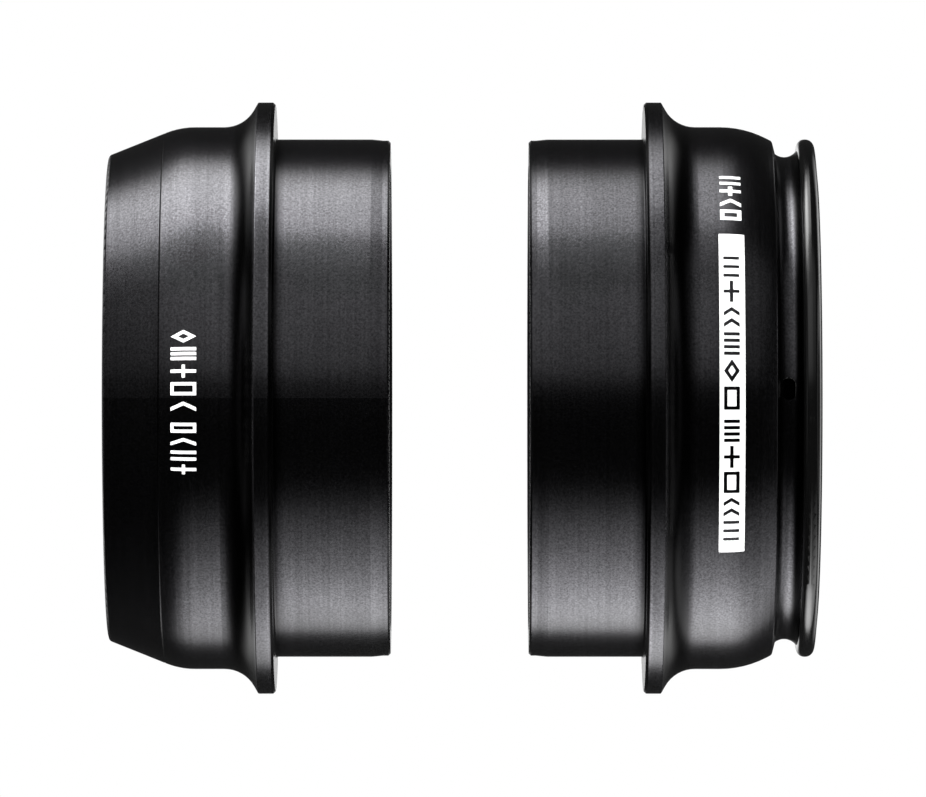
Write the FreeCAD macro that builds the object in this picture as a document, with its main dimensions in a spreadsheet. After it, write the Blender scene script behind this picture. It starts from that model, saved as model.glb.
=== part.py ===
import FreeCAD, Part
import Sketcher
import math
import os

# Bottom bracket of two press-fit cups for a 42 mm shell, each with a 25 x 37 x 6 cartridge
# bearing for a 25 mm spindle.
#
# The spindle axis is X: +X is the drive side (right cup), +Y is forward and +Z is up.
# The origin is on the axis, midway between the two flange faces that seat on the shell.
#
# Every piece of a cup is drawn in the frame of its own side, where x is a station along the
# axis, 0 at the flange seat face and positive outboard, and y is a radius. Every piece of a
# bearing is drawn about the bearing's middle, x again positive outboard. The left side is the
# same frame turned half a turn about Z.

DIMENSIONS = (
    # alias, millimetres (degrees for angles), meaning
    ("flange_gap", 29.85, "between the two flange seat faces at rest"),
    ("insert_radius", 21.0, "press-fit insert, standard 42 mm shell"),
    ("insert_length", 9.33, "flange seat face to the insert's end"),
    ("insert_bore_radius", 18.75, "relief bore through the insert"),
    ("lead_in_start", 7.83, "seat face to the taper that starts the insert into the shell"),
    ("lead_in_end", 8.73, "seat face to the far end of that taper"),
    ("lead_in_drop", 0.09, "radius lost over the lead-in taper"),
    ("insert_end_chamfer", 0.18, "45 degree chamfer on the insert's end"),
    ("end_chamfer", 0.3, "45 degree chamfer on the ends of bores"),
    ("root_fillet", 0.2, "hollow between the insert and the flange seat face"),
    ("flange_radius", 24.0, "flange outside"),
    ("flange_rim_width", 1.4, "width of the flange's rim"),
    ("flange_slope", 60, "flange's outboard slope, in degrees from the axis"),
    ("seat_chamfer", 0.2, "45 degree chamfer between the seat face and the flange's rim"),
    ("edge_break", 0.11, "broken edges of the flange's rim"),
    ("neck_fillet", 2.75, "hollow between the flange and the body"),
    ("body_radius", 22.0, "body outside"),
    ("seat_radius", 18.5, "bearing seat"),
    ("shoulder_radius", 17.0, "shoulder that stops the bearing or the wave washer"),
    ("shoulder_width", 1.6, "length of that shoulder"),
    ("left_length", 13.52, "left cup's outboard end"),
    ("left_end_radius", 19.69, "left cup's outboard end, outside"),
    ("left_round_station", 7.745, "where the left body and its cone would meet"),
    ("left_round", 6.5, "round between the left body and its cone"),
    ("left_end_fillet", 0.38, "left cup's outboard corner"),
    ("tool_line_station", 8.98, "fine line cut where the left cup's round meets its cone"),
    ("tool_line_width", 0.1, "width of that line"),
    ("tool_line_depth", 0.04, "depth of that line"),
    ("left_bearing_station", 5.02, "left bearing's inboard face"),
    ("right_round_station", 8.16, "where the right body and its nose would meet"),
    ("right_round", 8.2, "round between the right body and its nose"),
    ("nose_station", 10.36, "corner where the nose turns down into the clip groove"),
    ("nose_radius", 20.87, "radius of that corner"),
    ("nose_fillet", 0.25, "rounding of that corner"),
    ("groove_start", 10.62, "inboard end of the clip groove's floor"),
    ("groove_start_radius", 19.85, "radius there"),
    ("groove_end", 12.36, "ridge that ends the clip groove"),
    ("groove_end_radius", 20.05, "radius of that ridge"),
    ("groove_hollow", 1.2, "hollow radius of the groove's floor"),
    ("spigot_radius", 19.35, "spigot that carries the right dust seal"),
    ("right_length", 13.2, "right cup's outboard end, under the dust seal"),
    ("right_bearing_station", 4.78, "right bearing's inboard face"),
    ("slot_station", 11.25, "middle of the clip slots"),
    ("slot_width", 1.1, "clip slot, along the axis"),
    ("slot_length", 1.8, "clip slot, around the cup"),
    ("slot_count", 3, "clip slots around the cup"),
    ("slot_turn", 2.2, "slots are turned this many degrees up from the front"),
    ("clip_wire_radius", 0.45, "retaining clip's wire"),
    ("clip_radius", 20.07, "retaining clip, to the middle of its wire"),
    ("clip_bend", 0.9, "bend where the wire turns inward, to its middle"),
    ("clip_tip_radius", 17.75, "how near to the axis the clip's tips reach"),
    ("seal_lip_radius", 14.0, "dust seals' lips clear the spindle and its crank boss"),
    ("seal_lip_width", 0.3, "thickness at the lip's tip"),
    ("seal_lip_root", 15.6, "radius where the lip leaves the web"),
    ("seal_lip_reach", 0.4, "how far the lip slants inboard"),
    ("seal_web", 0.4, "thickness of the dust seals' webs"),
    ("seal_recess", 0.33, "how deep the web lies under the seal's rim"),
    ("right_seal_start", 12.4, "right dust seal's inboard face"),
    ("right_seal_crown", 13.72, "where its crown meets its domed outboard face"),
    ("right_seal_end", 13.95, "right dust seal's outboard face"),
    ("right_seal_face", 18.6, "outer radius of the flat part of that face"),
    ("right_seal_rim", 17.7, "inner radius of the right seal's raised rim"),
    ("right_seal_inner_fillet", 0.62, "round on the right seal's inboard corner"),
    ("right_seal_outer_fillet", 0.66, "round on the right seal's outboard corner"),
    ("left_seal_start", 11.6, "left dust seal's inboard face"),
    ("left_seal_end", 13.3, "left dust seal's outboard face"),
    ("left_seal_rim", 17.5, "inner radius of the left seal's outer wall"),
    ("left_seal_fillet", 0.2, "round on the left seal's outboard corner"),
    ("bearing_bore", 12.5, "bearing bore radius, for the 25 mm spindle"),
    ("bearing_outside", 18.48, "bearing outside radius, a running fit in its seat"),
    ("bearing_width", 6.0, "bearing width"),
    ("race_chamfer", 0.3, "chamfers on both races"),
    ("pitch_radius", 15.5, "circle of ball centres"),
    ("ball_radius", 1.5875, "1/8 inch balls"),
    ("ball_count", 16, "balls in one bearing"),
    ("ball_gap", 0.015, "radial clearance of a ball in each raceway"),
    ("raceway_radius", 1.65, "hollow radius of the raceways"),
    ("inner_land_radius", 14.3, "inner race's outside"),
    ("outer_land_radius", 16.7, "outer race's inside"),
    ("seal_station", 2.15, "bearing seal's hidden face, from the bearing's middle"),
    ("seal_thickness", 0.6, "bearing seal"),
    ("seal_inner_radius", 13.95, "bearing seal's lip"),
    ("seal_outer_radius", 17.0, "bearing seal's bead in the outer race"),
    ("seal_gap", 0.05, "clearance around the bearing seal"),
    ("seal_dish", 0.12, "depth of the ring pressed into the seal's face"),
    ("seal_dish_inner", 14.5, "inner radius of that ring"),
    ("seal_dish_outer", 16.2, "outer radius of that ring"),
    ("cage_inner_radius", 14.8, "cage inside"),
    ("cage_outer_radius", 16.2, "cage outside"),
    ("cage_back", 1.95, "cage's closed back, inboard of the ball centres"),
    ("cage_front", 0.95, "cage's open prongs, outboard of the ball centres"),
    ("pocket_gap", 0.06, "clearance of a ball in its pocket"),
    ("washer_inner_radius", 15.9, "wave washer inside"),
    ("washer_outer_radius", 18.3, "wave washer outside"),
    ("washer_thickness", 0.4, "wave washer's strip"),
    ("washer_wave", 0.43, "wave washer's half height of wave"),
    ("washer_waves", 3, "waves around the washer"),
    ("washer_clearance", 0.02, "between the washer's crests and what they bear on"),
)

# The sign of a station on either side of a bearing's middle.
OUTBOARD = ""
INBOARD = "-"


def make_sheet(doc):
    """Put every dimension into the spreadsheet under its own name."""
    sheet = doc.addObject("Spreadsheet::Sheet", "dim")
    for row, (alias, value, meaning) in enumerate(DIMENSIONS, start=1):
        sheet.set(f"A{row}", alias)
        sheet.set(f"B{row}", str(value))
        sheet.set(f"C{row}", meaning)
        sheet.setAlias(f"B{row}", alias)
    doc.recompute()
    return sheet


# ---------------------------------------------------------------- sketches


def corner(station, radius, fillet=None, hollow=None):
    """One corner of an outline. fillet rounds it; hollow curves the edge that leaves it."""
    return {"station": station, "radius": radius, "fillet": fillet, "hollow": hollow}


def origin_feature(body, role):
    """The body's own origin plane or axis with this role."""
    return next(part for part in body.Origin.OriginFeatures if part.Role == role)


def new_sketch(body, name, role):
    """A sketch on one of the body's origin planes."""
    sketch = body.newObject("Sketcher::SketchObject", name)
    sketch.AttachmentSupport = [(origin_feature(body, role), "")]
    sketch.MapMode = "FlatFace"
    return sketch


def bind(sketch, constraint, expression):
    """Add a dimension to a sketch and bind it to the sheet."""
    index = sketch.addConstraint(constraint)
    sketch.setExpression(f"Constraints[{index}]", expression)


def locate(sketch, geometry, point, x_expression, y_expression):
    """Fix a sketch point by its two distances from the sketch's origin."""
    x = sketch.evalExpression(x_expression)
    y = sketch.evalExpression(y_expression)
    bind(sketch, Sketcher.Constraint("DistanceX", -1, 1, geometry, point, x), x_expression)
    bind(sketch, Sketcher.Constraint("DistanceY", -1, 1, geometry, point, y), y_expression)


def add_arc(sketch, centre, first, last, clockwise):
    """Draw an arc between two points. Returns its index and its first and last point numbers."""
    circle = Part.Circle(centre, FreeCAD.Vector(0, 0, 1), centre.distanceToPoint(first))
    low, high = (last, first) if clockwise else (first, last)
    angles = [math.atan2(point.y - centre.y, point.x - centre.x) for point in (low, high)]
    index = sketch.addGeometry(Part.ArcOfCircle(circle, *angles), False)
    return (index, 2, 1) if clockwise else (index, 1, 2)


def fillet_points(before, at, after, radius):
    """Where a fillet of this radius leaves its two edges, its centre, and its turning sense."""
    back = (before - at).normalize()
    ahead = (after - at).normalize()
    half_angle = back.getAngle(ahead) / 2
    setback = radius / math.tan(half_angle)
    middle = (back + ahead).normalize()
    centre = at + middle * (radius / math.sin(half_angle))
    clockwise = back.cross(ahead).z > 0
    return at + back * setback, at + ahead * setback, centre, clockwise


def draw_outline(sketch, outline):
    """Draw a closed outline, material on its left, with each corner bound to the sheet."""
    corners = [FreeCAD.Vector(sketch.evalExpression(item["station"]),
                              sketch.evalExpression(item["radius"]), 0) for item in outline]
    count = len(outline)
    leave = list(corners)
    reach = list(corners)
    fillets = {}
    for i, item in enumerate(outline):
        if item["fillet"]:
            size = sketch.evalExpression(item["fillet"])
            fillets[i] = fillet_points(corners[i - 1], corners[i], corners[(i + 1) % count], size)
            reach[i], leave[i] = fillets[i][:2]

    edges = []
    for i, item in enumerate(outline):
        first, last = leave[i], reach[(i + 1) % count]
        if item["hollow"]:
            size = sketch.evalExpression(item["hollow"])
            half = (last - first) / 2
            across = FreeCAD.Vector(half.y, -half.x, 0).normalize()
            centre = first + half + across * math.sqrt(size ** 2 - half.Length ** 2)
            edge = add_arc(sketch, centre, first, last, clockwise=True)
            bind(sketch, Sketcher.Constraint("Radius", edge[0], size), item["hollow"])
        else:
            edge = (sketch.addGeometry(Part.LineSegment(first, last), False), 1, 2)
        edges.append(edge)

    for i, item in enumerate(outline):
        edge, after = edges[i - 1], edges[i]
        if i in fillets:
            first, last, centre, clockwise = fillets[i]
            arc = add_arc(sketch, centre, first, last, clockwise)
            point = sketch.addGeometry(Part.Point(corners[i]), True)
            sketch.addConstraint([
                Sketcher.Constraint("Tangent", edge[0], edge[2], arc[0], arc[1]),
                Sketcher.Constraint("Tangent", arc[0], arc[2], after[0], after[1]),
                Sketcher.Constraint("PointOnObject", point, 1, edge[0]),
                Sketcher.Constraint("PointOnObject", point, 1, after[0]),
            ])
            size = centre.distanceToPoint(first)
            bind(sketch, Sketcher.Constraint("Radius", arc[0], size), item["fillet"])
            locate(sketch, point, 1, item["station"], item["radius"])
        else:
            sketch.addConstraint(
                Sketcher.Constraint("Coincident", edge[0], edge[2], after[0], after[1]))
            locate(sketch, after[0], after[1], item["station"], item["radius"])


# ---------------------------------------------------------------- bodies


def new_body(doc, label):
    """An empty body whose label names its file."""
    body = doc.addObject("PartDesign::Body", label)
    body.Label = label
    return body


def turned_body(doc, label, outline):
    """A body turned about the X axis from an outline."""
    body = new_body(doc, label)
    sketch = new_sketch(body, f"{label}_outline", "XY_Plane")
    draw_outline(sketch, outline)
    turning = body.newObject("PartDesign::Revolution", f"{label}_turning")
    turning.Profile = sketch
    turning.ReferenceAxis = (sketch, ["H_Axis"])
    turning.Angle = 360
    doc.recompute()
    return body


def repeat_around(body, feature, name, count_alias):
    """Repeat a feature evenly around the body's X axis."""
    pattern = body.newObject("PartDesign::PolarPattern", name)
    pattern.Originals = [feature]
    pattern.Axis = (origin_feature(body, "X_Axis"), [""])
    pattern.Angle = 360
    pattern.setExpression("Occurrences", f"dim.{count_alias}")
    body.Tip = pattern
    return pattern


def ball_primitive(body, kind, name, radius_expression):
    """A sphere, added or cut, at the first ball's place on the pitch circle."""
    ball = body.newObject(kind, name)
    ball.AttachmentSupport = [(origin_feature(body, "YZ_Plane"), "")]
    ball.MapMode = "FlatFace"
    ball.setExpression("AttachmentOffset.Base.x", "dim.pitch_radius")
    ball.setExpression("Radius", radius_expression)
    return ball


def place(piece, side, station_expression="0"):
    """Move a piece from its side's frame to its place in the whole bottom bracket."""
    station = f"dim.flange_gap / 2 + {station_expression}"
    if side == "left":
        piece.Placement.Rotation = FreeCAD.Rotation(FreeCAD.Vector(0, 0, 1), 180)
        station = f"-({station})"
    piece.setExpression("Placement.Base.x", station)


def turn_to_slots(piece):
    """Turn a right-hand piece about the spindle axis to the clip slots' angle."""
    piece.Placement.Rotation = FreeCAD.Rotation(FreeCAD.Vector(-1, 0, 0), 1)
    piece.setExpression("Placement.Rotation.Angle", "dim.slot_turn")


# ---------------------------------------------------------------- cups


def insert_bore(shoulder_face):
    """Corners of the insert's bore and the shoulder, from the insert's end to the seat."""
    return [
        corner("-dim.insert_length", "dim.insert_bore_radius + dim.end_chamfer"),
        corner("-dim.insert_length + dim.end_chamfer", "dim.insert_bore_radius"),
        corner(f"{shoulder_face} - dim.shoulder_width", "dim.insert_bore_radius"),
        corner(f"{shoulder_face} - dim.shoulder_width", "dim.shoulder_radius"),
        corner(shoulder_face, "dim.shoulder_radius"),
        corner(shoulder_face, "dim.seat_radius"),
    ]


def seat_mouth(end_station):
    """Corners of the seat's chamfered mouth."""
    return [
        corner(f"{end_station} - dim.end_chamfer", "dim.seat_radius"),
        corner(end_station, "dim.seat_radius + dim.end_chamfer"),
    ]


def neck_and_flange():
    """Corners from the hollow beside the flange, round its rim, to the seat face."""
    slope = "(dim.flange_radius - dim.body_radius) / tan(dim.flange_slope)"
    return [
        corner(f"dim.flange_rim_width + {slope}", "dim.body_radius", fillet="dim.neck_fillet"),
        corner("dim.flange_rim_width", "dim.flange_radius", fillet="dim.edge_break"),
        corner("dim.seat_chamfer", "dim.flange_radius", fillet="dim.edge_break"),
        corner("0", "dim.flange_radius - dim.seat_chamfer"),
    ]


def insert_outside():
    """Corners of the press-fit insert, its lead-in taper and the narrower land at its end."""
    tapered = "dim.insert_radius - dim.lead_in_drop"
    return [
        corner("0", "dim.insert_radius", fillet="dim.root_fillet"),
        corner("-dim.lead_in_start", "dim.insert_radius"),
        corner("-dim.lead_in_end", tapered),
        corner("-dim.insert_length + dim.insert_end_chamfer", tapered),
        corner("-dim.insert_length", f"{tapered} - dim.insert_end_chamfer"),
    ]


def on_left_cone(station):
    """The left cone's radius at a station."""
    slope = "(dim.body_radius - dim.left_end_radius) / (dim.left_length - dim.left_round_station)"
    return f"dim.left_end_radius + (dim.left_length - ({station})) * {slope}"


def make_left_cup(doc):
    """Left cup: a plain body that ends in a cone, with a fine line cut round where they meet."""
    washer_room = "(dim.washer_thickness + 2 * dim.washer_wave + 2 * dim.washer_clearance)"
    line_start = "dim.tool_line_station - dim.tool_line_width / 2"
    line_end = "dim.tool_line_station + dim.tool_line_width / 2"
    line_floor = f"{on_left_cone('dim.tool_line_station')} - dim.tool_line_depth"
    outside = [
        corner("dim.left_length", "dim.left_end_radius", fillet="dim.left_end_fillet"),
        corner(line_end, on_left_cone(line_end)),
        corner("dim.tool_line_station", line_floor),
        corner(line_start, on_left_cone(line_start)),
        corner("dim.left_round_station", "dim.body_radius", fillet="dim.left_round"),
    ]
    outline = (insert_bore(f"dim.left_bearing_station - {washer_room}")
               + seat_mouth("dim.left_length") + outside + neck_and_flange() + insert_outside())
    cup = turned_body(doc, "left_cup", outline)
    place(cup, "left")
    return cup


def make_right_cup(doc):
    """Right cup: a rounded nose, a clip groove with slots through it, and a seal spigot."""
    outside = [
        corner("dim.right_length", "dim.spigot_radius"),
        corner("dim.groove_end", "dim.spigot_radius"),
        corner("dim.groove_end", "dim.groove_end_radius", hollow="dim.groove_hollow"),
        corner("dim.groove_start", "dim.groove_start_radius"),
        corner("dim.nose_station", "dim.nose_radius", fillet="dim.nose_fillet"),
        corner("dim.right_round_station", "dim.body_radius", fillet="dim.right_round"),
    ]
    outline = (insert_bore("dim.right_bearing_station") + seat_mouth("dim.right_length")
               + outside + neck_and_flange() + insert_outside())
    cup = turned_body(doc, "right_cup", outline)
    blank_volume = cup.Shape.Volume

    sketch = new_sketch(cup, "right_cup_slot", "XZ_Plane")
    draw_slot(sketch)
    slot = cup.newObject("PartDesign::Pocket", "right_cup_slot_cut")
    slot.Profile = sketch
    slot.Reversed = True
    slot.setExpression("Length", "dim.flange_radius")
    repeat_around(cup, slot, "right_cup_slots", "slot_count")
    doc.recompute()
    if not cup.Shape.Volume < blank_volume:
        raise RuntimeError("the clip slots cut nothing")
    place(cup, "right")
    turn_to_slots(cup)
    return cup


def draw_slot(sketch):
    """Draw a slot with round ends: two half circles joined by two straight sides."""
    station = sketch.evalExpression("dim.slot_station")
    radius = sketch.evalExpression("dim.slot_width / 2")
    reach = sketch.evalExpression("(dim.slot_length - dim.slot_width) / 2")
    right, left = station + radius, station - radius
    top, bottom = FreeCAD.Vector(station, reach, 0), FreeCAD.Vector(station, -reach, 0)
    side = FreeCAD.Vector(radius, 0, 0)
    upper = add_arc(sketch, top, top + side, top - side, clockwise=False)
    lower = add_arc(sketch, bottom, bottom - side, bottom + side, clockwise=False)
    sides = [
        sketch.addGeometry(Part.LineSegment(top - side, bottom - side), False),
        sketch.addGeometry(Part.LineSegment(bottom + side, top + side), False),
    ]
    sketch.addConstraint([
        Sketcher.Constraint("Tangent", upper[0], 2, sides[0], 1),
        Sketcher.Constraint("Tangent", sides[0], 2, lower[0], 1),
        Sketcher.Constraint("Tangent", lower[0], 2, sides[1], 1),
        Sketcher.Constraint("Tangent", sides[1], 2, upper[0], 1),
        Sketcher.Constraint("Equal", upper[0], lower[0]),
    ])
    bind(sketch, Sketcher.Constraint("Radius", upper[0], radius), "dim.slot_width / 2")
    locate(sketch, upper[0], 3, "dim.slot_station", "(dim.slot_length - dim.slot_width) / 2")
    locate(sketch, lower[0], 3, "dim.slot_station", "-(dim.slot_length - dim.slot_width) / 2")


# ---------------------------------------------------------------- seals, clip and washer


def make_right_dust_seal(doc):
    """Right dust seal: a rounded rubber ring over the cup's spigot, with a web and a lip."""
    web_face = "dim.right_seal_end - dim.seal_recess"
    web_back = f"{web_face} - dim.seal_web"
    outline = [
        corner(f"{web_back} - dim.seal_lip_reach", "dim.seal_lip_radius"),
        corner(f"{web_back} - dim.seal_lip_reach + dim.seal_lip_width", "dim.seal_lip_radius"),
        corner(web_face, "dim.seal_lip_root"),
        corner(web_face, "dim.right_seal_rim"),
        corner("dim.right_seal_end", "dim.right_seal_rim + dim.seal_recess"),
        corner("dim.right_seal_end", "dim.right_seal_face"),
        corner("dim.right_seal_crown", "dim.insert_radius",
               fillet="dim.right_seal_outer_fillet"),
        corner("dim.right_seal_start", "dim.insert_radius",
               fillet="dim.right_seal_inner_fillet"),
        corner("dim.right_seal_start", "dim.spigot_radius"),
        corner(web_back, "dim.spigot_radius"),
        corner(web_back, "dim.seal_lip_root"),
    ]
    seal = turned_body(doc, "right_dust_seal", outline)
    place(seal, "right")
    return seal


def make_left_dust_seal(doc):
    """Left dust seal: a rubber ring pressed into the seat's mouth, with a web and a lip."""
    web_face = "dim.left_seal_end - dim.seal_recess"
    web_back = f"{web_face} - dim.seal_web"
    outline = [
        corner(f"{web_back} - dim.seal_lip_reach", "dim.seal_lip_radius"),
        corner(f"{web_back} - dim.seal_lip_reach + dim.seal_lip_width", "dim.seal_lip_radius"),
        corner(web_face, "dim.seal_lip_root"),
        corner(web_face, "dim.left_seal_rim - dim.seal_recess"),
        corner("dim.left_seal_end", "dim.left_seal_rim"),
        corner("dim.left_seal_end", "dim.seat_radius", fillet="dim.left_seal_fillet"),
        corner("dim.left_seal_start", "dim.seat_radius"),
        corner("dim.left_seal_start", "dim.left_seal_rim"),
        corner(web_back, "dim.left_seal_rim"),
        corner(web_back, "dim.seal_lip_root"),
    ]
    seal = turned_body(doc, "left_dust_seal", outline)
    place(seal, "left")
    return seal


def make_retaining_clip(doc):
    """Wire clip in the groove, its two ends bent inward through the two rear slots.

    Half of it is swept from the rear (+Y) along the groove, round the bend and inward.
    The other half is its mirror image.
    """
    clip = new_body(doc, "right_retaining_clip")
    hook_angle = "(180 - 360 / dim.slot_count)"

    spine = new_sketch(clip, "right_retaining_clip_spine", "YZ_Plane")
    spine.setExpression("AttachmentOffset.Base.z", "dim.slot_station")
    radius = spine.evalExpression("dim.clip_radius")
    bend = spine.evalExpression("dim.clip_bend")
    tip = spine.evalExpression("dim.clip_tip_radius")
    hook = math.radians(spine.evalExpression(hook_angle))
    inward = FreeCAD.Vector(-math.cos(hook), -math.sin(hook), 0)
    lag = math.asin(bend / (radius - bend))
    toward_bend = FreeCAD.Vector(math.cos(hook - lag), math.sin(hook - lag), 0)
    bend_centre = toward_bend * (radius - bend)
    bend_end = inward * -((radius - bend) * math.cos(lag))
    run = add_arc(spine, FreeCAD.Vector(), FreeCAD.Vector(radius, 0, 0), toward_bend * radius,
                  clockwise=False)
    turn = add_arc(spine, bend_centre, toward_bend * radius, bend_end, clockwise=False)
    leg = spine.addGeometry(Part.LineSegment(bend_end, inward * -tip), False)
    spine.addConstraint([
        Sketcher.Constraint("Coincident", run[0], 3, -1, 1),
        Sketcher.Constraint("PointOnObject", run[0], run[1], -1),
        Sketcher.Constraint("Tangent", run[0], run[2], turn[0], turn[1]),
        Sketcher.Constraint("Tangent", turn[0], turn[2], leg, 1),
    ])
    bind(spine, Sketcher.Constraint("Radius", run[0], radius), "dim.clip_radius")
    bind(spine, Sketcher.Constraint("Radius", turn[0], bend), "dim.clip_bend")
    tip_y = f"dim.clip_tip_radius * cos({hook_angle})"
    tip_z = f"dim.clip_tip_radius * sin({hook_angle})"
    locate(spine, leg, 2, tip_y, tip_z)
    spine.addConstraint(Sketcher.Constraint("PointOnObject", -1, 1, leg))

    wire = new_sketch(clip, "right_retaining_clip_wire", "XY_Plane")
    middle = FreeCAD.Vector(wire.evalExpression("dim.slot_station"), radius, 0)
    thickness = wire.evalExpression("dim.clip_wire_radius")
    circle = Part.Circle(middle, FreeCAD.Vector(0, 0, 1), thickness)
    ring = wire.addGeometry(circle, False)
    bind(wire, Sketcher.Constraint("Radius", ring, thickness), "dim.clip_wire_radius")
    locate(wire, ring, 3, "dim.slot_station", "dim.clip_radius")
    doc.recompute()

    half = clip.newObject("PartDesign::AdditivePipe", "right_retaining_clip_half")
    half.Profile = wire
    half.Spine = (spine, [])
    doc.recompute()
    whole = clip.newObject("PartDesign::Mirrored", "right_retaining_clip_whole")
    whole.Originals = [half]
    whole.MirrorPlane = (origin_feature(clip, "XY_Plane"), [""])
    clip.Tip = whole
    doc.recompute()
    place(clip, "right")
    turn_to_slots(clip)
    return clip


def wave_ring(sheet, radius, points_per_wave=12):
    """A closed curve around the X axis that waves along it, on the strip's inboard face."""
    waves = int(sheet.washer_waves)
    count = waves * points_per_wave
    curve = Part.BSplineCurve()
    points = []
    for i in range(count):
        angle = 2 * math.pi * i / count
        station = sheet.washer_wave * math.cos(waves * angle) - sheet.washer_thickness / 2
        points.append(FreeCAD.Vector(station, radius * math.cos(angle), radius * math.sin(angle)))
    curve.interpolate(Points=points, PeriodicFlag=True)
    return Part.Wire(curve.toShape())


def make_wave_washer(doc, sheet):
    """Wave washer: a flat strip ring that waves along the axis, which no sketch can draw."""
    inner = wave_ring(sheet, sheet.washer_inner_radius)
    outer = wave_ring(sheet, sheet.washer_outer_radius)
    strip = Part.makeRuledSurface(inner, outer)
    solid = strip.extrude(FreeCAD.Vector(sheet.washer_thickness, 0, 0))
    washer = doc.addObject("Part::Feature", "left_wave_washer")
    washer.Label = "left_wave_washer"
    washer.Shape = solid.Solids[0] if solid.Solids else Part.Solid(solid.Shells[0])
    place(washer, "left", "dim.left_bearing_station - dim.washer_clearance"
                          " - dim.washer_wave - dim.washer_thickness / 2")
    return washer


# ---------------------------------------------------------------- bearings


def race_outlines():
    """Outlines of the inner and the outer race, about the bearing's middle."""
    half = "dim.bearing_width / 2"
    rebate = "(dim.seal_station - dim.seal_gap)"
    rebate_end = "(dim.seal_station + dim.seal_thickness + dim.seal_gap)"
    inner_centre = "(dim.pitch_radius - dim.ball_radius - dim.ball_gap + dim.raceway_radius)"
    outer_centre = "(dim.pitch_radius + dim.ball_radius + dim.ball_gap - dim.raceway_radius)"
    inner_way = f"sqrt(dim.raceway_radius ^ 2 - ({inner_centre} - dim.inner_land_radius) ^ 2)"
    outer_way = f"sqrt(dim.raceway_radius ^ 2 - (dim.outer_land_radius - {outer_centre}) ^ 2)"
    rebate_radius = "dim.seal_inner_radius - dim.seal_gap"
    bead_radius = "dim.seal_outer_radius + dim.seal_gap"

    inner = [
        corner(f"-{half}", "dim.bearing_bore + dim.race_chamfer"),
        corner(f"-{half} + dim.race_chamfer", "dim.bearing_bore"),
        corner(f"{half} - dim.race_chamfer", "dim.bearing_bore"),
        corner(half, "dim.bearing_bore + dim.race_chamfer"),
        corner(half, rebate_radius),
        corner(rebate, rebate_radius),
        corner(rebate, "dim.inner_land_radius"),
        corner(inner_way, "dim.inner_land_radius", hollow="dim.raceway_radius"),
        corner(f"-{inner_way}", "dim.inner_land_radius"),
        corner(f"-{rebate}", "dim.inner_land_radius"),
        corner(f"-{rebate}", rebate_radius),
        corner(f"-{half}", rebate_radius),
    ]
    outer = [
        corner(f"-{half}", "dim.outer_land_radius"),
        corner(f"-{rebate_end}", "dim.outer_land_radius"),
        corner(f"-{rebate_end}", bead_radius),
        corner(f"-{rebate}", bead_radius),
        corner(f"-{rebate}", "dim.outer_land_radius"),
        corner(f"-{outer_way}", "dim.outer_land_radius", hollow="dim.raceway_radius"),
        corner(outer_way, "dim.outer_land_radius"),
        corner(rebate, "dim.outer_land_radius"),
        corner(rebate, bead_radius),
        corner(rebate_end, bead_radius),
        corner(rebate_end, "dim.outer_land_radius"),
        corner(half, "dim.outer_land_radius"),
        corner(half, "dim.bearing_outside - dim.race_chamfer"),
        corner(f"{half} - dim.race_chamfer", "dim.bearing_outside"),
        corner(f"-{half} + dim.race_chamfer", "dim.bearing_outside"),
        corner(f"-{half}", "dim.bearing_outside - dim.race_chamfer"),
    ]
    return inner, outer


def bearing_seal_outline(sign):
    """Outline of one bearing seal; sign says on which side of the bearing's middle it is."""
    hidden = f"{sign}dim.seal_station"
    shown = f"{sign}(dim.seal_station + dim.seal_thickness)"
    bead = f"{sign}(dim.seal_station + dim.seal_thickness - dim.seal_gap)"
    dish = f"{sign}(dim.seal_station + dim.seal_thickness - dim.seal_dish)"
    outline = [
        corner(hidden, "dim.seal_inner_radius"),
        corner(shown, "dim.seal_inner_radius"),
        corner(shown, "dim.seal_dish_inner"),
        corner(dish, "dim.seal_dish_inner + dim.seal_dish"),
        corner(dish, "dim.seal_dish_outer - dim.seal_dish"),
        corner(shown, "dim.seal_dish_outer"),
        corner(shown, "dim.outer_land_radius - dim.seal_gap"),
        corner(bead, "dim.seal_outer_radius"),
        corner(hidden, "dim.seal_outer_radius"),
    ]
    return outline if sign == OUTBOARD else outline[::-1]


def make_bearing(doc, side):
    """One cartridge bearing: two races, a ring of balls, a snap cage and two seals."""
    middle = f"dim.{side}_bearing_station + dim.bearing_width / 2"
    inner_outline, outer_outline = race_outlines()
    pieces = [
        turned_body(doc, f"{side}_bearing_inner_race", inner_outline),
        turned_body(doc, f"{side}_bearing_outer_race", outer_outline),
        turned_body(doc, f"{side}_bearing_outboard_seal", bearing_seal_outline(OUTBOARD)),
        turned_body(doc, f"{side}_bearing_inboard_seal", bearing_seal_outline(INBOARD)),
    ]

    balls = new_body(doc, f"{side}_bearing_balls")
    ball = ball_primitive(balls, "PartDesign::AdditiveSphere", f"{side}_ball", "dim.ball_radius")
    repeat_around(balls, ball, f"{side}_ball_ring", "ball_count")
    pieces.append(balls)

    cage = turned_body(doc, f"{side}_bearing_cage", [
        corner("-dim.cage_back", "dim.cage_inner_radius"),
        corner("dim.cage_front", "dim.cage_inner_radius"),
        corner("dim.cage_front", "dim.cage_outer_radius"),
        corner("-dim.cage_back", "dim.cage_outer_radius"),
    ])
    pocket = ball_primitive(cage, "PartDesign::SubtractiveSphere", f"{side}_cage_pocket",
                            "dim.ball_radius + dim.pocket_gap")
    repeat_around(cage, pocket, f"{side}_cage_pockets", "ball_count")
    pieces.append(cage)

    doc.recompute()
    for piece in pieces:
        place(piece, side, middle)
    return pieces


# ---------------------------------------------------------------- checks and files


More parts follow.
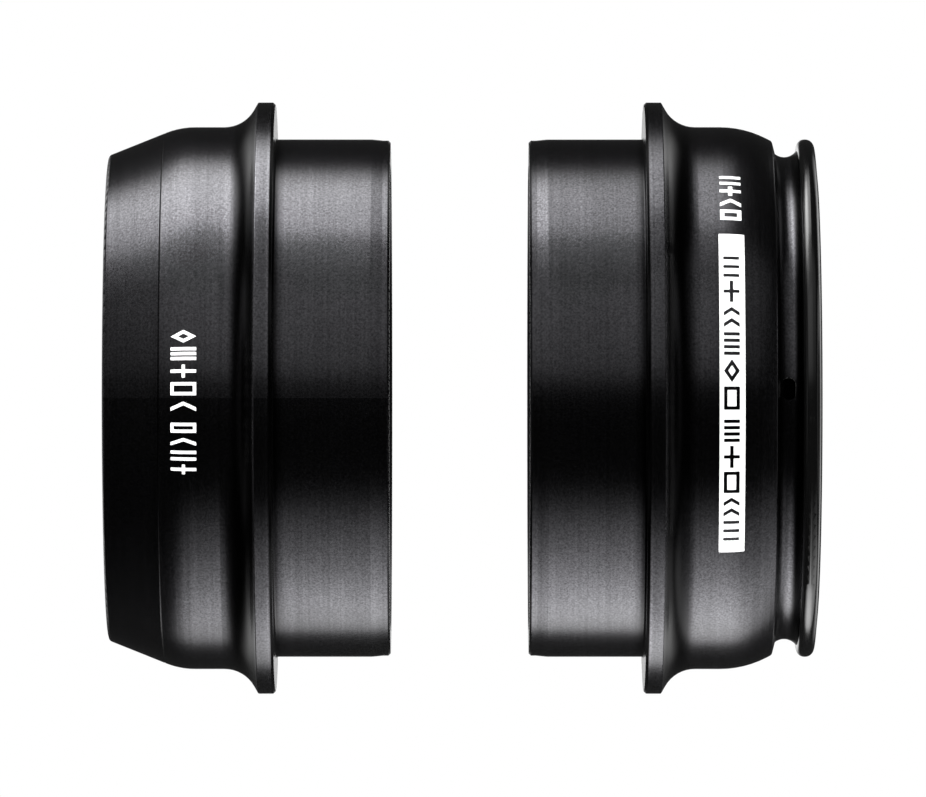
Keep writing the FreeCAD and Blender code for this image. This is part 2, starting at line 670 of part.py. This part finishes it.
def check(doc, pieces):
    """Stop if any object failed or any piece has no sound shape."""
    for item in doc.Objects:
        if "Invalid" in item.State or "Error" in item.State:
            raise RuntimeError(f"{item.Name} failed: {item.State}")
        if item.isDerivedFrom("Sketcher::SketchObject") and not item.FullyConstrained:
            raise RuntimeError(f"{item.Name} is not fully constrained")
    for piece in pieces:
        if piece.Shape.isNull() or not piece.Shape.isValid() or not piece.Shape.Solids:
            raise RuntimeError(f"{piece.Label} has no sound shape")


def write(pieces):
    """Write one file for each piece, named by its label."""
    os.makedirs("parts", exist_ok=True)
    for piece in pieces:
        piece.Shape.exportStep(f"parts/{piece.Label}.step")
        box = piece.Shape.BoundBox
        print(f"{piece.Label:32} solids {len(piece.Shape.Solids):2}  "
              f"volume {piece.Shape.Volume:9.2f}  x {box.XMin:8.3f} to {box.XMax:8.3f}")


def main():
    doc = FreeCAD.newDocument("bottom_bracket")
    sheet = make_sheet(doc)
    pieces = [
        make_left_cup(doc),
        make_left_dust_seal(doc),
        make_wave_washer(doc, sheet),
        *make_bearing(doc, "left"),
        make_right_cup(doc),
        make_right_dust_seal(doc),
        make_retaining_clip(doc),
        *make_bearing(doc, "right"),
    ]
    doc.recompute()
    check(doc, pieces)
    write(pieces)


main()
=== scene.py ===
import math

import bmesh
import bpy
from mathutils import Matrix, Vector


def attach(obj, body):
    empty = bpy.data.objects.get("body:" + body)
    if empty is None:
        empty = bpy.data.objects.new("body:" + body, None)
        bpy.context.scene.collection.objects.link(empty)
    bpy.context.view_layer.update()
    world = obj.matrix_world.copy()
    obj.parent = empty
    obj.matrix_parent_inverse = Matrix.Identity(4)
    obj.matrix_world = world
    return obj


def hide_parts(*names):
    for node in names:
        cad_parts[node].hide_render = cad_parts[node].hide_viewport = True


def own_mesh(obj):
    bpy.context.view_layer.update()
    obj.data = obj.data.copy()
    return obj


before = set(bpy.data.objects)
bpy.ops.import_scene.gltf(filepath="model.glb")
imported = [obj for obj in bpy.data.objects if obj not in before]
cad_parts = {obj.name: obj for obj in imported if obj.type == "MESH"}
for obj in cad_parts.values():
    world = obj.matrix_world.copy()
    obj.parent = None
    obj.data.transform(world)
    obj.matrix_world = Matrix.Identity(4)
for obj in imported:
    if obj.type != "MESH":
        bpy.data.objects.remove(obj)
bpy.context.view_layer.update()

MM = 0.001

# Camera: level with the axis and square to it, from far enough away to look almost parallel.
CAMERA_PLACE = Vector((0.00027, -0.9, -0.00003))
PICTURE_WIDTH = 0.0752
SENSOR_WIDTH = 36.0

# Studio. The soft boxes are curved sheets on a cylinder around the object's own axis.
TENT_RADIUS = 0.2
TENT_STEP = 2.0
FLOOR_HEIGHT = -0.32
FLOOR_RADIUS = 2.5
FLOOR_COLOUR = (0.3, 0.3, 0.3, 1.0)
FLOOR_GLOW = 0.95
FLOOR_SIDES = 96
BACKGROUND = (1.0, 1.0, 1.0, 1.0)
ROOM_GLOW = 0.03
LAMP_PLACE = Vector((0.0, -0.8, 0.1))
LAMP_SIZE = 0.5
LAMP_WATTS = 8.0

# The cups, in millimetres. A station is a distance outboard from the cup's flange seat face.
SEAT_STATION = 14.925
BODY_RADIUS = 22.0
FLANGE_RADIUS = 24.0

# How much a step outwards counts beside a step along the axis when lathe lines are spaced.
PROFILE_LEAN = 0.7

# The print is a film of ink, sunk a little into the metal so that no gap shows at its edge.
# It is drawn flat in millimetres: first the station, then the way around the body from the front up.
INK_PROUD = 0.02 * MM
INK_DEPTH = 0.05 * MM
INK_CUT = 0.5
INK_CORNER = 0.06
INK_CREASE = math.radians(40.0)
CORNER_STEPS = 3


def along(ladder, value):
    """The height at value of a line through (place, height) points, level beyond its ends."""
    if value <= ladder[0][0]:
        return ladder[0][1]
    for (start, low), (end, high) in zip(ladder, ladder[1:]):
        if value <= end:
            return low + (high - low) * (value - start) / (end - start)
    return ladder[-1][1]


def link(name, data):
    """A new object in the scene."""
    made = bpy.data.objects.new(name, data)
    bpy.context.scene.collection.objects.link(made)
    return made


class Recipe:
    """One material's node tree. Each method adds a node and gives back the socket it makes."""

    def __init__(self, name):
        self.material = bpy.data.materials.new(name)
        self.material.use_nodes = True
        self.tree = self.material.node_tree
        self.tree.nodes.clear()

    def add(self, kind, inputs=None, output=0, **settings):
        node = self.tree.nodes.new("ShaderNode" + kind)
        for key, value in settings.items():
            setattr(node, key, value)
        for key, value in (inputs or {}).items():
            if isinstance(value, bpy.types.NodeSocket):
                self.tree.links.new(value, node.inputs[key])
            else:
                node.inputs[key].default_value = value
        return node.outputs[output]

    def math(self, operation, *values):
        return self.add("Math", dict(enumerate(values)), operation=operation)

    def span(self, value, low, high, new_low, new_high):
        """value's stretch from low to high, moved to new_low to new_high and held at its ends."""
        ends = {"From Min": low, "From Max": high, "To Min": new_low, "To Max": new_high}
        return self.add("MapRange", {"Value": value, **ends})

    def noise(self, place, scale, detail=2.0, roughness=0.5):
        inputs = {"Vector": place, "Scale": scale, "Detail": detail, "Roughness": roughness}
        return self.add("TexNoise", inputs)

    def place(self):
        """The point on the piece, in metres in the row frame."""
        return self.add("TexCoord", output="Object")

    def turned(self, across, around):
        """A place whose noise makes lathe lines: across lines to the millimetre along the profile,
        and around changes to the millimetre round the axis."""
        point = self.place()
        x, y, z = (self.add("SeparateXYZ", {"Vector": point}, output=axis) for axis in "XYZ")
        square = self.math("ADD", self.math("MULTIPLY", y, y), self.math("MULTIPLY", z, z))
        profile = self.math("ADD", x, self.math("MULTIPLY", self.math("SQRT", square), PROFILE_LEAN))
        parts = {
            "X": self.math("MULTIPLY", profile, across / MM),
            "Y": self.math("MULTIPLY", y, around / MM),
            "Z": self.math("MULTIPLY", z, around / MM),
        }
        return self.add("CombineXYZ", parts)

    def station(self):
        """How far outboard the point lies from its cup's flange seat face, in metres."""
        x = self.add("SeparateXYZ", {"Vector": self.place()}, output="X")
        return self.math("SUBTRACT", self.math("ABSOLUTE", x), SEAT_STATION * MM)

    def ladder(self, value, points):
        """A line through (place in millimetres, height) points, read at value in metres."""
        low, high = points[0][0] * MM, points[-1][0] * MM
        node = self.tree.nodes.new("ShaderNodeValToRGB")
        steps = node.color_ramp.elements
        for place, height in points[1:-1]:
            steps.new((place * MM - low) / (high - low))
        for step, (place, height) in zip(steps, points):
            step.position = (place * MM - low) / (high - low)
            step.color = (height, height, height, 1.0)
        self.tree.links.new(self.span(value, low, high, 0.0, 1.0), node.inputs["Fac"])
        return node.outputs["Color"]

    def mix(self, share, first, second):
        """A colour between two, given as red, green and blue."""
        inputs = {"Factor": share, "A": [*first, 1.0], "B": [*second, 1.0]}
        return self.add("Mix", inputs, output=2, data_type="RGBA")

    def grey(self, value):
        return self.add("CombineColor", {"Red": value, "Green": value, "Blue": value})

    def bump(self, height, depth):
        """A normal from height, where 1 stands depth metres proud."""
        return self.add("Bump", {"Height": height, "Distance": depth, "Strength": 1.0})

    def surface(self, **inputs):
        """The finished material, with the shader's sockets named as in Blender with _ for a space."""
        named = {key.replace("_", " "): value for key, value in inputs.items()}
        self.show(self.add("BsdfPrincipled", named))
        return self.material

    def show(self, shader):
        """Makes shader what the surface shows."""
        out = self.tree.nodes.new("ShaderNodeOutputMaterial")
        self.tree.links.new(shader, out.inputs["Surface"])


# The black anodise's mean colour, a touch cool.
ANODISE = (0.05, 0.0495, 0.053)

# How dark or bright the anodise is painted, by station in millimetres: painted shade at the foot of the
# flange and in the neck behind it, and a painted highlight line round the edge of the seat. The left cup
# has a second painted highlight line, on the flange's outer edge, and painted shade in the step where the
# tool's line is cut; the right cup has painted shade again over the outer end of its groove.
# Both cups: painted shade at the flange foot and a painted highlight line at the seat edge.
SEAT_PAINTED_LIGHT = [(-1.0, 1.0), (-0.5, 0.6), (-0.3, 0.25), (-0.02, 0.12), (0.2, 0.12), (0.27, 1.0), (0.31, 1.3),
              (0.42, 1.3), (0.46, 1.0)]
# Left cup: painted highlight on the flange's outer edge, painted shade in the neck and in the tool-line
# step.
LEFT_PAINTED_LIGHT = SEAT_PAINTED_LIGHT + [(1.32, 1.0), (1.37, 1.6), (1.5, 1.6), (1.56, 0.15), (2.6, 0.12), (3.0, 0.3),
                           (3.5, 1.0), (8.9, 1.0), (8.94, 0.25), (9.02, 0.25), (9.06, 1.0)]
# Right cup: painted shade in the neck and over the outer end of the groove.
RIGHT_PAINTED_LIGHT = SEAT_PAINTED_LIGHT + [(1.5, 1.0), (1.65, 0.15), (2.8, 0.12), (3.3, 0.3), (3.85, 1.0),
                            (11.7, 1.0), (11.95, 0.12)]


def anodised(name, painted_light):
    """Black anodised aluminium, turned: grain, faint lines round the axis, soft smudges, and painted shade
    and painted highlights by station, multiplied into the colour."""
    recipe = Recipe(name)
    fine = recipe.noise(recipe.turned(4.5, 0.03), 1.0, 2.0, 0.6)
    broad = recipe.noise(recipe.turned(1.1, 0.03), 1.0, 1.0)
    grain = recipe.noise(recipe.place(), 6.0 / MM, 2.0, 0.7)
    smudge = recipe.noise(recipe.place(), 0.15 / MM, 2.0)
    texture_and_painted_light = recipe.span(fine, 0.3, 0.7, 0.87, 1.13)
    for layer, low, high in ((broad, 0.95, 1.05), (grain, 0.55, 1.45), (smudge, 0.92, 1.08)):
        texture_and_painted_light = recipe.math("MULTIPLY", texture_and_painted_light, recipe.span(layer, 0.3, 0.7, low, high))
    # Painted shade and painted highlights by station, from the ladder given.
    texture_and_painted_light = recipe.math("MULTIPLY", texture_and_painted_light, recipe.ladder(recipe.station(), painted_light))
    height = recipe.math("ADD", recipe.math("MULTIPLY", fine, 0.5), grain)
    tangent = recipe.add("Tangent", direction_type="RADIAL", axis="X")
    return recipe.surface(
        Base_Color=recipe.add("VectorMath", {0: ANODISE, "Scale": texture_and_painted_light}, operation="SCALE"),
        Metallic=1.0,
        Roughness=recipe.span(grain, 0.3, 0.7, 0.22, 0.27),
        Anisotropic=0.3,
        Anisotropic_Rotation=0.25,
        Tangent=tangent,
        Normal=recipe.bump(height, 0.0015 * MM),
    )


def gloss_rubber():
    """Smooth moulded rubber, glossier than the metal beside it."""
    recipe = Recipe("gloss_rubber")
    ripple = recipe.noise(recipe.turned(1.5, 0.05), 1.0, 2.0)
    return recipe.surface(
        Base_Color=(0.002, 0.002, 0.002, 1.0),
        Roughness=recipe.span(ripple, 0.3, 0.7, 0.14, 0.2),
        Normal=recipe.bump(ripple, 0.002 * MM),
    )


def seal_rubber():
    """Matt black nitrile rubber, moulded in rings."""
    recipe = Recipe("seal_rubber")
    rings = recipe.noise(recipe.turned(3.0, 0.03), 1.0, 2.0)
    grain = recipe.noise(recipe.place(), 5.0 / MM, 2.0)
    return recipe.surface(
        Base_Color=recipe.grey(recipe.span(grain, 0.3, 0.7, 0.016, 0.028)),
        Roughness=recipe.span(rings, 0.3, 0.7, 0.42, 0.56),
        Normal=recipe.bump(recipe.math("ADD", rings, grain), 0.004 * MM),
    )


def steel(name, colour, roughness, across):
    """Ground or rolled steel with fine lines round the axis."""
    recipe = Recipe(name)
    lines = recipe.noise(recipe.turned(across, 0.06), 1.0, 3.0, 0.6)
    return recipe.surface(
        Base_Color=recipe.mix(lines, [0.85 * part for part in colour], colour),
        Metallic=1.0,
        Roughness=recipe.span(lines, 0.3, 0.7, roughness * 0.8, roughness * 1.2),
        Normal=recipe.bump(lines, 0.001 * MM),
    )


def nylon():
    """Moulded nylon, uneven in colour."""
    recipe = Recipe("nylon")
    cloud = recipe.noise(recipe.place(), 0.8 / MM, 3.0)
    tint = recipe.mix(cloud, (0.55, 0.5, 0.38), (0.7, 0.66, 0.54))
    return recipe.surface(Base_Color=tint, Roughness=0.4, Normal=recipe.bump(cloud, 0.01 * MM))


def white_ink():
    """Screen-printed white ink with a faint tooth."""
    recipe = Recipe("white_ink")
    tooth = recipe.noise(recipe.place(), 9.0 / MM, 2.0)
    return recipe.surface(
        Base_Color=recipe.grey(recipe.span(tooth, 0.3, 0.7, 0.84, 0.9)),
        Roughness=0.5,
        Normal=recipe.bump(tooth, 0.002 * MM),
    )


def paint_nodes():
    """Gives each CAD node the finish of its material slot."""
    finishes = {
        "left_cup": anodised("left_anodised", LEFT_PAINTED_LIGHT),
        "right_cup": anodised("right_anodised", RIGHT_PAINTED_LIGHT),
        "right_dust_seal": gloss_rubber(),
        "seal": seal_rubber(),
        "race": steel("bearing_steel", (0.62, 0.61, 0.60), 0.28, 4.0),
        "balls": steel("ball_steel", (0.72, 0.72, 0.72), 0.08, 1.0),
        "wave_washer": steel("spring_steel", (0.46, 0.44, 0.42), 0.35, 3.0),
        "retaining_clip": steel("clip_steel", (0.5, 0.49, 0.47), 0.3, 3.0),
        "cage": nylon(),
    }
    for name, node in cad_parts.items():
        finish = next(finishes[key] for key in finishes if name.endswith(key))
        for material_slot in node.material_slots:
            material_slot.material = finish


# ---------------------------------------------------------------- wave washer


def make_springy_washer():
    """The wave washer again, as its own piece that rides on the left cup."""
    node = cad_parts["left_wave_washer"]
    piece = link("left_wave_washer_spring", node.data.copy())
    piece.matrix_world = node.matrix_world.copy()
    for material_slot, finished in zip(piece.material_slots, node.material_slots):
        material_slot.material = finished.material
    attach(piece, "left_cup")
    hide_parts("left_wave_washer")
    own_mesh(piece)


# ---------------------------------------------------------------- print


def rounded(corners, radius):
    """A closed outline through corners, with each of them rounded."""
    outline = []
    for i, corner in enumerate(corners):
        corner = Vector(corner)
        back = Vector(corners[i - 1]) - corner
        ahead = Vector(corners[(i + 1) % len(corners)]) - corner
        reach = min(radius, 0.45 * back.length, 0.45 * ahead.length)
        first = corner + back.normalized() * reach
        last = corner + ahead.normalized() * reach
        for step in range(CORNER_STEPS + 1):
            share = step / CORNER_STEPS
            outline.append(first.lerp(corner, share).lerp(corner.lerp(last, share), share))
    return outline


def box(width, height, station=0.0, around=0.0):
    """A rectangle, width along the axis and height around the body."""
    w, h = width / 2, height / 2
    signs = ((-1, -1), (1, -1), (1, 1), (-1, 1))
    return rounded([(station + i * w, around + j * h) for i, j in signs], INK_CORNER)


def bars(count, width, height, stroke):
    """Bars along the axis, evenly spaced around the body."""
    pitch = (height - stroke) / (count - 1)
    return [box(width, stroke, around=(i - (count - 1) / 2) * pitch) for i in range(count)]


def chevrons(count, width, height, stroke):
    """Arrowheads that point up around the body."""
    w, pitch = width / 2, height / count
    rise = pitch * 0.45
    thick = stroke * math.hypot(w, rise) / w
    outlines = []
    for i in range(count):
        low = (i + 0.5) * pitch - height / 2 - (rise + thick) / 2
        under = [(-w, low), (0, low + rise), (w, low)]
        over = [(x, y + thick) for x, y in reversed(under)]
        outlines.append(rounded(under + over, INK_CORNER))
    return outlines


def frame_sign(width, height, stroke):
    """A rectangle's outline."""
    return [box(width, height), box(width - 2 * stroke, height - 2 * stroke)]


def diamond(width, height, stroke):
    """A diamond's outline."""
    w, h = width / 2, height / 2
    inset = stroke * math.hypot(w, h)
    outer = [(0, -h), (w, 0), (0, h), (-w, 0)]
    inner = [(0, inset / w - h), (w - inset / h, 0), (0, h - inset / w), (inset / h - w, 0)]
    return [rounded(outer, INK_CORNER), rounded(inner, INK_CORNER)]


def cross(width, height, stroke):
    """An upright cross."""
    w, h, t = width / 2, height / 2, stroke / 2
    corners = [
        (-t, -h), (t, -h), (t, -t), (w, -t), (w, t), (t, t),
        (t, h), (-t, h), (-t, t), (-w, t), (-w, -t), (-t, -t),
    ]
    return [rounded(corners, INK_CORNER)]


def row_of_marks(marks, station, first, pitch, width, height, stroke):
    """Outlines of marks in a row up around the body."""
    outlines = []
    for i, (draw, *count) in enumerate(marks):
        for outline in draw(*count, width, height, stroke):
            outlines.append([point + Vector((station, first + i * pitch)) for point in outline])
    return outlines


def fill_flat(outlines):
    """A flat mesh inside outlines; an outline inside another is a hole in it."""
    curve = bpy.data.curves.new("ink_outlines", "CURVE")
    curve.dimensions = "2D"
    curve.fill_mode = "BOTH"
    for outline in outlines:
        spline = curve.splines.new("POLY")
        spline.points.add(len(outline) - 1)
        for point, place in zip(spline.points, outline):
            point.co = (place.x, place.y, 0.0, 1.0)
        spline.use_cyclic_u = True
    holder = bpy.data.objects.new("ink_outlines", curve)
    mesh = bpy.data.meshes.new_from_object(holder)
    bpy.data.objects.remove(holder)
    bpy.data.curves.remove(curve)
    return mesh


def print_ink(name, cup_name, outlines, material):
    """Lays flat outlines round a cup as a closed film of ink."""
    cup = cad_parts[cup_name]
    side = 1.0 if cup_name == "right_cup" else -1.0
    mesh = fill_flat(outlines)
    shape = bmesh.new()
    shape.from_mesh(mesh)
    bmesh.ops.remove_doubles(shape, verts=shape.verts[:], dist=1e-5)
    for axis in range(2):
        low = min(vertex.co[axis] for vertex in shape.verts)
        high = max(vertex.co[axis] for vertex in shape.verts)
        direction = Vector((axis == 0, axis == 1, 0))
        for i in range(1, math.ceil((high - low) / INK_CUT)):
            cut = direction * (low + i * INK_CUT)
            bmesh.ops.bisect_plane(shape, geom=shape.verts[:] + shape.edges[:] + shape.faces[:],
                                   plane_co=cut, plane_no=direction, dist=1e-5)
    grown = bmesh.ops.extrude_face_region(shape, geom=shape.faces[:])["geom"]
    tops = {item for item in grown if isinstance(item, bmesh.types.BMVert)}
    for vertex in shape.verts:
        station, around = vertex.co.x, vertex.co.y
        turn = around / BODY_RADIUS
        outward = Vector((0.0, -math.cos(turn), math.sin(turn)))
        start = Vector((side * (SEAT_STATION + station) * MM, 0.0, 0.0)) + outward * FLANGE_RADIUS * MM
        found, place, _normal, _face = cup.ray_cast(cup.matrix_world.inverted() @ start, -outward)
        if not found:
            raise RuntimeError(f"{name} lies off {cup_name}")
        vertex.co = cup.matrix_world @ place + outward * (INK_PROUD if vertex in tops else -INK_DEPTH)
    bmesh.ops.recalc_face_normals(shape, faces=shape.faces[:])
    for face in shape.faces:
        face.smooth = True
    for edge in shape.edges:
        edge.smooth = edge.calc_face_angle(math.pi) < INK_CREASE
    shape.to_mesh(mesh)
    shape.free()
    mesh.materials.append(material)
    piece = link(name, mesh)
    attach(piece, cup_name)


def make_print():
    """The cups' printed marks, as plain signs in place of the words."""
    ink = white_ink()
    panel = [box(2.05, 27.0, station=6.71, around=0.49)]
    panel += row_of_marks([(bars, 3), (chevrons, 2), (frame_sign,), (cross,), (bars, 4)],
                          station=6.66, first=-11.0, pitch=2.1, width=1.27, height=1.8, stroke=0.28)
    panel += row_of_marks([(frame_sign,), (diamond,), (bars, 4), (chevrons, 2), (cross,), (bars, 3)],
                          station=6.66, first=0.0, pitch=2.18, width=1.27, height=1.85, stroke=0.28)
    print_ink("right_panel_print", "right_cup", panel, ink)
    small = row_of_marks([(frame_sign,), (chevrons, 1), (cross,), (bars, 2)],
                         station=6.69, first=16.0, pitch=1.37, width=1.7, height=1.12, stroke=0.34)
    print_ink("right_upper_print", "right_cup", small, ink)
    left = row_of_marks([(cross,), (bars, 2), (chevrons, 1), (frame_sign,)],
                        station=6.97, first=-5.72, pitch=1.12, width=2.05, height=0.8, stroke=0.26)
    left += row_of_marks([(chevrons, 1), (frame_sign,), (cross,), (bars, 3), (diamond,)],
                         station=6.97, first=-0.65, pitch=1.4, width=2.05, height=1.05, stroke=0.27)
    print_ink("left_print", "left_cup", left, ink)


# ---------------------------------------------------------------- studio


def glow_material():
    recipe = Recipe("soft_box_glow")
    glow = recipe.add("Attribute", output="Fac", attribute_name="glow")
    lit = recipe.add("Emission", {"Strength": glow})
    recipe.show(lit)
    return recipe.material


def soft_box(name, around, across, material):
    """A curved lit sheet around the X axis. around and across are (place, strength) points that set how
    bright it is: round the axis in degrees up from the front, and along the axis in millimetres."""
    low_angle, high_angle = around[0][0], around[-1][0]
    low_x, high_x = across[0][0] * MM, across[-1][0] * MM
    rows = round((high_angle - low_angle) / TENT_STEP)
    columns = round((high_x - low_x) / (TENT_RADIUS * math.radians(TENT_STEP)))
    points, glow = [], []
    for row in range(rows + 1):
        angle = low_angle + (high_angle - low_angle) * row / rows
        turn = math.radians(angle)
        for column in range(columns + 1):
            x = low_x + (high_x - low_x) * column / columns
            points.append((x, -TENT_RADIUS * math.cos(turn), TENT_RADIUS * math.sin(turn)))
            glow.append(along(around, angle) * along(across, x / MM))
    width = columns + 1
    starts = [row * width + column for row in range(rows) for column in range(columns)]
    faces = [(first, first + 1, first + width + 1, first + width) for first in starts]
    mesh = bpy.data.meshes.new(name)
    mesh.from_pydata(points, [], faces)
    mesh.attributes.new("glow", "FLOAT", "POINT").data.foreach_set("value", glow)
    mesh.materials.append(material)
    made = link(name, mesh)
    made.visible_camera = False
    made.visible_shadow = False


def make_floor():
    """A plain pale disc well below the object."""
    mesh = bpy.data.meshes.new("floor")
    shape = bmesh.new()
    bmesh.ops.create_circle(shape, cap_ends=True, segments=FLOOR_SIDES, radius=FLOOR_RADIUS)
    shape.to_mesh(mesh)
    shape.free()
    recipe = Recipe("floor")
    mesh.materials.append(recipe.surface(Base_Color=FLOOR_COLOUR, Roughness=0.9,
                                         Emission_Color=BACKGROUND, Emission_Strength=FLOOR_GLOW))
    made = link("floor", mesh)
    made.location.z = FLOOR_HEIGHT
    made.visible_glossy = False
    made.visible_shadow = False


def make_world():
    """White to the camera, dim to everything that reflects it."""
    world = bpy.data.worlds.new("studio")
    world.use_nodes = True
    tree = world.node_tree
    tree.nodes.clear()
    rays = tree.nodes.new("ShaderNodeLightPath")
    seen = tree.nodes.new("ShaderNodeBackground")
    seen.inputs["Color"].default_value = BACKGROUND
    felt = tree.nodes.new("ShaderNodeBackground")
    felt.inputs["Strength"].default_value = ROOM_GLOW
    mix = tree.nodes.new("ShaderNodeMixShader")
    out = tree.nodes.new("ShaderNodeOutputWorld")
    tree.links.new(rays.outputs["Is Camera Ray"], mix.inputs["Fac"])
    tree.links.new(felt.outputs["Background"], mix.inputs[1])
    tree.links.new(seen.outputs["Background"], mix.inputs[2])
    tree.links.new(mix.outputs["Shader"], out.inputs["Surface"])
    bpy.context.scene.world = world


def make_lights():
    glow = glow_material()
    soft_box(
        "top_box",
        [(48, 0), (58, 1.6), (66, 4.5), (72, 6.8), (82, 8.4), (92, 9.2), (101, 9.0), (109, 5.0), (115, 1.6),
         (120, 0)],
        [(-215, 0), (-192, 0.2), (-160, 0.5), (-110, 1.0), (-60, 1.25), (-20, 1.0), (5, 0.44), (38, 0.42),
         (46, 0)],
        glow,
    )
    soft_box(
        "front_box",
        [(4, 0), (13, 0.6), (28, 0.82), (44, 0.95), (60, 0.9), (74, 0)],
        [(-245, 0), (-130, 1), (20, 1), (70, 0.45), (170, 0.35), (230, 0)],
        glow,
    )
    soft_box(
        "under_box",
        [(-124, 0), (-119, 3.2), (-110, 5.4), (-101, 6.6), (-92, 5.9), (-82, 4.0), (-70, 2.2), (-60, 1.35),
         (-46, 0.3), (-36, 0)],
        [(-80, 0), (10, 1), (45, 1), (85, 0.5), (130, 0.38), (280, 0.3), (330, 0)],
        glow,
    )
    for side, end in ((-1, "left"), (1, "right")):
        ring = sorted([(side * 400, 0), (side * 480, 1), (side * 780, 1), (side * 860, 0)])
        soft_box(end + "_end_box", [(-90, 0.3), (0, 0.7), (90, 1.3), (180, 0.7), (270, 0.3)], ring, glow)
        band = sorted([(side * 90, 0), (side * 160, 1), (side * 300, 1), (side * 400, 0)])
        soft_box(end + "_back_box", [(125, 0), (150, 1.6), (205, 1.6), (230, 0)], band, glow)
    sheet = [(-34, 0), (-26, 1), (26, 1), (34, 0)]
    soft_box("back_sheet", [(165, 0), (172, 1.2), (188, 1.2), (195, 0)], sheet, glow)
    lamp = bpy.data.lights.new("print_fill", "AREA")
    lamp.shape = "DISK"
    lamp.size = LAMP_SIZE
    lamp.energy = LAMP_WATTS
    made = link("print_fill", lamp)
    made.location = LAMP_PLACE
    made.rotation_euler = (-made.location).to_track_quat("-Z", "Y").to_euler()
    made.visible_camera = False
    made.visible_glossy = False


def make_camera():
    lens = bpy.data.cameras.new("camera")
    lens.sensor_width = SENSOR_WIDTH
    lens.lens = SENSOR_WIDTH * abs(CAMERA_PLACE.y) / PICTURE_WIDTH
    camera = link("camera", lens)
    camera.location = CAMERA_PLACE
    camera.rotation_euler = (math.radians(90.0), 0.0, 0.0)
    bpy.context.scene.camera = camera


paint_nodes()
make_springy_washer()
make_print()
make_world()
make_lights()
make_floor()
make_camera()
bpy.context.scene.view_settings.view_transform = "Standard"
